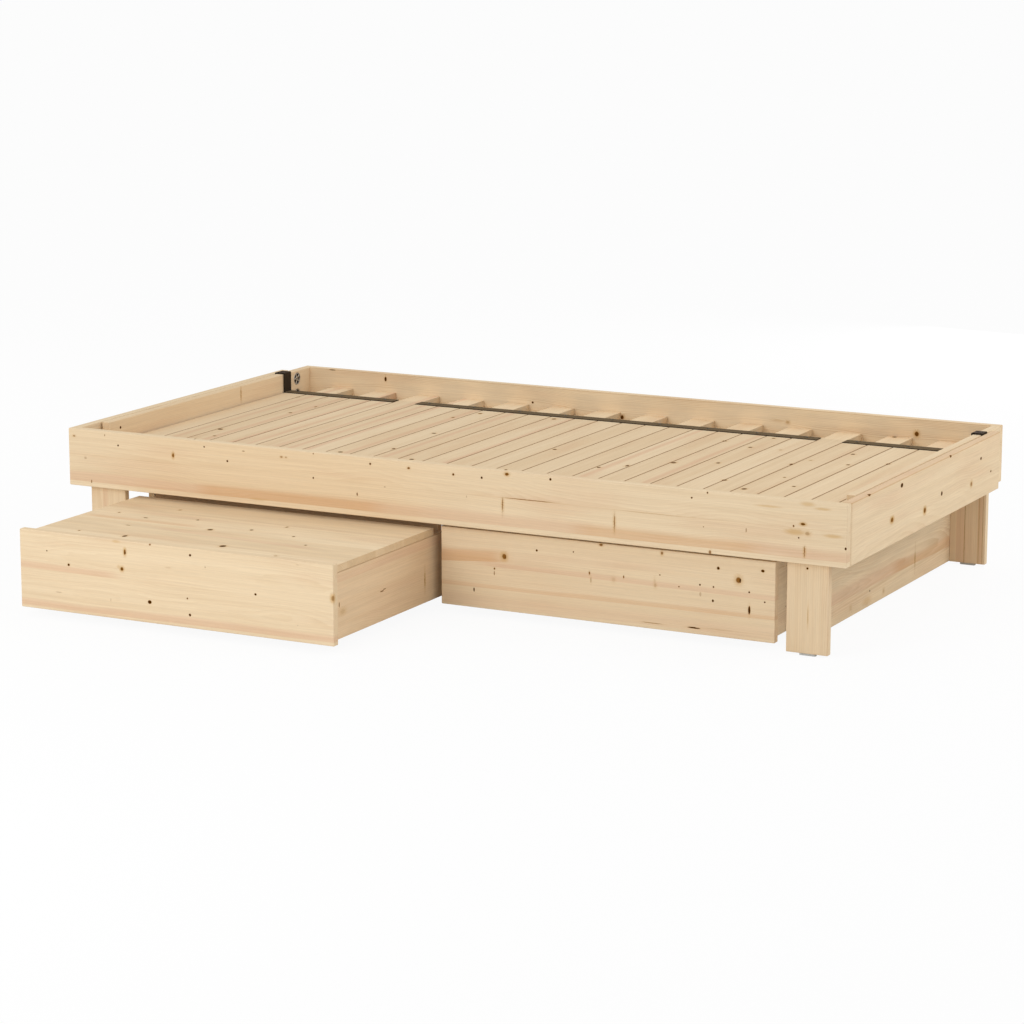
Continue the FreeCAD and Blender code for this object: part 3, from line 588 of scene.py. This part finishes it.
def cross_recess(x, y, arm, half_width):
    """1 inside a cross of two bars about the middle and 0 outside it."""
    bars = [(1.0 - rise(abs(p), half_width, half_width * 1.25)) * (1.0 - rise(abs(q), arm, arm * 1.1))
            for p, q in ((x, y), (y, x))]
    return np.maximum(*bars)


def round_shell(radii, heights, sunk, depth, turns=96):
    """A closed round shell in millimetres: p = (r cos a, r sin a, z - depth sunk(x, y)), one ring for each
    r and z of its profile, from the middle of its face to the middle of its back. The fourth value of
    each point is sunk, where the material is darker and rougher.
    """
    angle = np.linspace(0.0, 2.0 * np.pi, turns, endpoint=False)
    x = np.outer(radii, np.cos(angle))
    y = np.outer(radii, np.sin(angle))
    z = np.asarray(heights)[:, None] + 0.0 * x
    low = sunk(x, y) * (z > heights[0] - FACE_SPAN)
    return np.stack([x, y, z - depth * low, low], axis=-1)


def set_shell(shell, centre, across, up, out):
    """A shell placed in the part: centre + x across + y up + z out, in metres, with its sunk share."""
    place = np.asarray(centre) + (shell[..., :3] * MM) @ np.array([across, up, out])
    return np.concatenate([place, shell[..., 3:]], axis=-1)


def shell_piece(name, shells, material):
    """One piece of several closed shells, each an array (ring, turn, value) between two poles."""
    points = []
    faces = []
    count = 0
    for rings in shells:
        turns = rings.shape[1]
        points += [rings[0, :1], rings[1:-1].reshape(-1, 4), rings[-1, :1]]
        here = count + 1 + np.arange((len(rings) - 2) * turns).reshape(-1, turns)
        there = np.roll(here, -1, axis=1)
        count = here[-1, -1] + 2
        faces += np.stack([here[:-1], here[1:], there[1:], there[:-1]], axis=-1).reshape(-1, 4).tolist()
        faces += [(here[0, 0] - 1, p, q) for p, q in zip(here[0], there[0])]
        faces += [(count - 1, q, p) for p, q in zip(here[-1], there[-1])]
    points = np.concatenate(points)
    mesh = bpy.data.meshes.new(name)
    mesh.from_pydata(points[:, :3].tolist(), [], faces)
    mesh.attributes.new("sunk_dark", "FLOAT", "POINT").data.foreach_set("value", points[:, 3])
    mesh.shade_smooth()
    mesh.materials.append(material)
    piece = bpy.data.objects.new(name, mesh)
    bpy.context.scene.collection.objects.link(piece)
    return piece


cam_radius = 17.2
cam_length = 14.0
cam_bevel = 0.4
cam_shoulder = 2.6
cam_ribs = 5
cam_recess = 2.2
cam_rings = 56
bolt_radius = 4.0
bolt_bevel = 0.6


def cam_face(x, y):
    """1 in the pockets between the ribs, in the cross and round the rim of a cam's face, and 0 on its ribs.

    A rib lies where r |sin(ribs a / 2)| is small, and the pockets reach from the hub to the rim.
    """
    hub, rim, lip = 6.4, 14.4, 15.8
    slope = 0.4
    half_rib = 1.3
    r = np.hypot(x, y)
    turn = np.arctan2(y, x) * cam_ribs / 2.0
    off_rib = rise(r * abs(np.sin(turn)) * 2.0 / cam_ribs, half_rib, half_rib + 0.3)
    pockets = rise(r, hub, hub + slope) * (1.0 - rise(r, rim, rim + slope)) * off_rib
    driver = cross_recess(x, y, arm=4.2, half_width=1.3)
    return np.maximum(np.maximum(pockets, driver), rise(r, lip, lip + slope))


def no_recess(x, y):
    """A face with nothing cut into it."""
    return 0.0 * x


cam_face_r = np.linspace(0.0, cam_radius - cam_bevel, cam_rings)
cam_disc = round_shell(np.append(cam_face_r, [cam_radius, cam_radius, 0.0]),
                       np.append(0.0 * cam_face_r, [-cam_shoulder, -cam_length, -cam_length]),
                       cam_face, cam_recess)
zinc_cast = zinc("die_cast_cams", srgb(214, 210, 201), srgb(164, 160, 150), 160.0)
for locks, body, board in (("front_cam_locks", "pull_out_frame", "outer_end_board_right"),
                           ("back_cam_locks", "fixed_frame", "inner_end_board_right")):
    low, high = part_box(locks)
    rear = locks.startswith("back")
    cam_y = low.y + cam_radius * MM if rear else high.y - cam_radius * MM
    bolt_end = high.y if rear else low.y
    toward = 1.0 if rear else -1.0
    bolt_length = abs(bolt_end - cam_y) / MM - cam_radius
    neck = bolt_radius - bolt_bevel
    bolt = round_shell([0.0, neck, bolt_radius, bolt_radius, neck, 0.0],
                       [0.0, 0.0, -bolt_bevel, bolt_bevel - bolt_length, -bolt_length, -bolt_length],
                       no_recess, 0.0, turns=32)
    shells = []
    for side in (-1.0, 1.0):
        face_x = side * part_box(board)[0].x
        for cam_z in (low.z + cam_radius * MM, high.z - cam_radius * MM):
            bolt_x = face_x + side * cam_length / 2 * MM
            cam_place = (face_x, cam_y, cam_z)
            bolt_place = (bolt_x, bolt_end, cam_z)
            shells += [set_shell(cam_disc, cam_place, (0, side, 0), (0, 0, 1), (-side, 0, 0)),
                       set_shell(bolt, bolt_place, (-toward, 0, 0), (0, 0, 1), (0, toward, 0))]
    lock_piece = shell_piece(locks.replace("locks", "castings"), shells, zinc_cast)
    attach(lock_piece, body)
    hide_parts(locks)


# Tie-bar screws: pan-head wood screws of blackened steel with a cross recess, one through the bar into
# each moving slat.
screw_radius = 4.0
screw_head = 2.4
screw_dome = 0.55
screw_shank = 2.0
screw_point = 3.0
screw_recess = 1.0
screw_count = 15


def screw_face(x, y):
    """1 in the cross of a screw's head and 0 round it."""
    return cross_recess(x, y, arm=2.1, half_width=0.5)


low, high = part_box("tie_bar_screws")
screw_length = (high.z - low.z) / MM - screw_head
head_r = np.linspace(0.0, screw_radius, 20)
head_z = screw_head * (1.0 - screw_dome * (head_r / screw_radius) ** 4)
screw = round_shell(np.append(head_r, [screw_radius, screw_shank, screw_shank, 0.0]),
                    np.append(head_z, [0.0, 0.0, screw_point - screw_length, -screw_length]),
                    screw_face, screw_recess, turns=40)
bar_top = high.z - screw_head * MM
screw_y = (low.y + high.y) / 2
screw_x = np.linspace(low.x + screw_radius * MM, high.x - screw_radius * MM, screw_count)
screws = [set_shell(screw, (x, screw_y, bar_top), (1, 0, 0), (0, 1, 0), (0, 0, 1)) for x in screw_x]
blackened = zinc("black_oxide_screws", srgb(112, 104, 90), srgb(84, 77, 66), 220.0)
screw_piece = shell_piece("tie_bar_pan_screws", screws, blackened)
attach(screw_piece, "pull_out_frame")
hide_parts("tie_bar_screws")


# Foot pads: pressed grey felt with loose pale fibres, glued under the legs and the end panels so that
# the wood doesn't scratch the floor.
FELT_SHADE = srgb(168, 168, 164)
FELT_FIBRE = srgb(212, 212, 208)
tree, shader, felt = new_material("pressed_felt")
fibres = tree.add("TexCoord", out="Object").noise(700.0, 6.0, 0.75)
feed(shader, "Base Color", fibres.reach(0.35, 0.65).between(FELT_SHADE, FELT_FIBRE))
feed(shader, "Normal", fibres.bump(0.6, 0.0006))
shader.inputs["Roughness"].default_value = 0.95
dress(felt, "front_foot_pads", "fixed_foot_pads")


# Castor wheels: moulded black nylon that turns on the fork's axle. They are scuffed grey and dusty
# where they roll.
NYLON = srgb(30, 30, 31)
DUSTY_NYLON = srgb(92, 90, 86)
tree, shader, nylon = new_material("castor_nylon")
scuff = tree.add("TexCoord", out="Object").noise(120.0, 6.0, 0.7)
feed(shader, "Base Color", scuff.reach(0.5, 0.8).between(NYLON, DUSTY_NYLON))
feed(shader, "Roughness", scuff.reach(0.3, 0.8, 0.4, 0.7))
wheels = sorted(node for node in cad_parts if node.endswith("_wheels"))
dress(nylon, *wheels)


# Studio: a white floor and white surroundings. The floor shows white to the camera, with a faint
# shadow of the bed, and throws light back up under it.
def seen_white(tree):
    """1 for what the camera sees, straight or by way of metal or glass, and 0 for light on the bed."""
    path = tree.add("LightPath", out="Is Camera Ray")
    mirrored = path.output("Is Glossy Ray")
    through = path.output("Is Transmission Ray")
    return path.math("MAXIMUM", mirrored).math("MAXIMUM", through)


WHITE = (1.0, 1.0, 1.0, 1.0)
FLOOR_GREY = (0.86, 0.86, 0.86, 1.0)
surround_light = 0.73
floor_white = 0.93
shadow_white = 0.85
floor_half = 30.0
bed_middle_y = 0.31
floor_mesh = bpy.data.meshes.new("studio_floor")
floor_corners = [(-floor_half, -floor_half, 0.0), (floor_half, -floor_half, 0.0),
                 (floor_half, floor_half, 0.0), (-floor_half, floor_half, 0.0)]
floor_mesh.from_pydata(floor_corners, [], [(0, 1, 2, 3)])
floor = bpy.data.objects.new("studio_floor", floor_mesh)
bpy.context.scene.collection.objects.link(floor)
tree, shader, floor_paint = new_material("studio_white")
shader.inputs["Base Color"].default_value = FLOOR_GREY
shader.inputs["Roughness"].default_value = 0.9
shader.inputs["Specular IOR Level"].default_value = 0.0
spot = tree.add("TexCoord", out="Object").split()
under_x = spot.math("ABSOLUTE").reach(0.8, 0.9, 1.0, 0.0)
under_y = (spot.output("Y") - bed_middle_y).math("ABSOLUTE").reach(0.36, 0.44, 1.0, 0.0)
glow = tree.add("Emission", None, {"Color": WHITE, "Strength": 1.0})
paint = Wire(tree.tree, shader.outputs[0])
share = seen_white(tree) * (floor_white - under_x * under_y * shadow_white)
floor_look = tree.add("MixShader", None, {0: share, 1: paint, 2: glow})
tree.tree.links.new(floor_look.socket, tree.tree.nodes["Material Output"].inputs["Surface"])
floor_mesh.materials.append(floor_paint)

world = bpy.data.worlds.new("studio_surround")
world.use_nodes = True
bpy.context.scene.world = world
sky = Wire(world.node_tree)
soft = sky.add("Background", None, {"Color": WHITE, "Strength": surround_light})
white = sky.add("Background", None, {"Color": WHITE, "Strength": 1.0})
surround = sky.add("MixShader", None, {0: seen_white(sky), 1: soft, 2: white})
sky.tree.links.new(surround.socket, world.node_tree.nodes["World Output"].inputs["Surface"])
bpy.context.scene.view_settings.view_transform = "Standard"


def soft_panel(name, place, aim, size, power):
    """A square panel of soft light at a place, turned to face a point."""
    lamp = bpy.data.lights.new(name, "AREA")
    lamp.size = size
    lamp.energy = power
    panel = bpy.data.objects.new(name, lamp)
    panel.location = place
    panel.rotation_euler = (Vector(aim) - Vector(place)).to_track_quat("-Z", "Y").to_euler()
    bpy.context.scene.collection.objects.link(panel)


soft_panel("front_left_panel", (-0.9, -3.6, 1.7), (-0.2, -0.5, 0.2), 1.6, 38.0)
soft_panel("right_end_panel", (3.6, 1.0, 2.6), (1.0, 0.3, 0.2), 2.0, 34.0)
soft_panel("back_fill_panel", (0.3, 4.4, 0.9), (0.0, 0.8, 0.25), 1.8, 26.0)
soft_panel("left_end_fill_panel", (-4.4, 0.5, 0.9), (-1.0, 0.3, 0.2), 1.8, 24.0)


# Camera: a long lens to the right of the front and a little above the bed, turned to its middle. It is
# tilted down with no shift, so the whole bed stays in view from every other side.
camera_lens = 114.41
camera_sensor = 36.0
camera_place = (3.669, -7.0079, 1.8302)
camera_azimuth = 27.395
camera_pitch = 11.733
camera_data = bpy.data.cameras.new("camera")
camera_data.sensor_width = camera_sensor
camera_data.lens = camera_lens
camera = bpy.data.objects.new("camera", camera_data)
camera.location = camera_place
camera.rotation_euler = (math.radians(90.0 - camera_pitch), 0.0, math.radians(camera_azimuth))
bpy.context.scene.collection.objects.link(camera)
bpy.context.scene.camera = camera
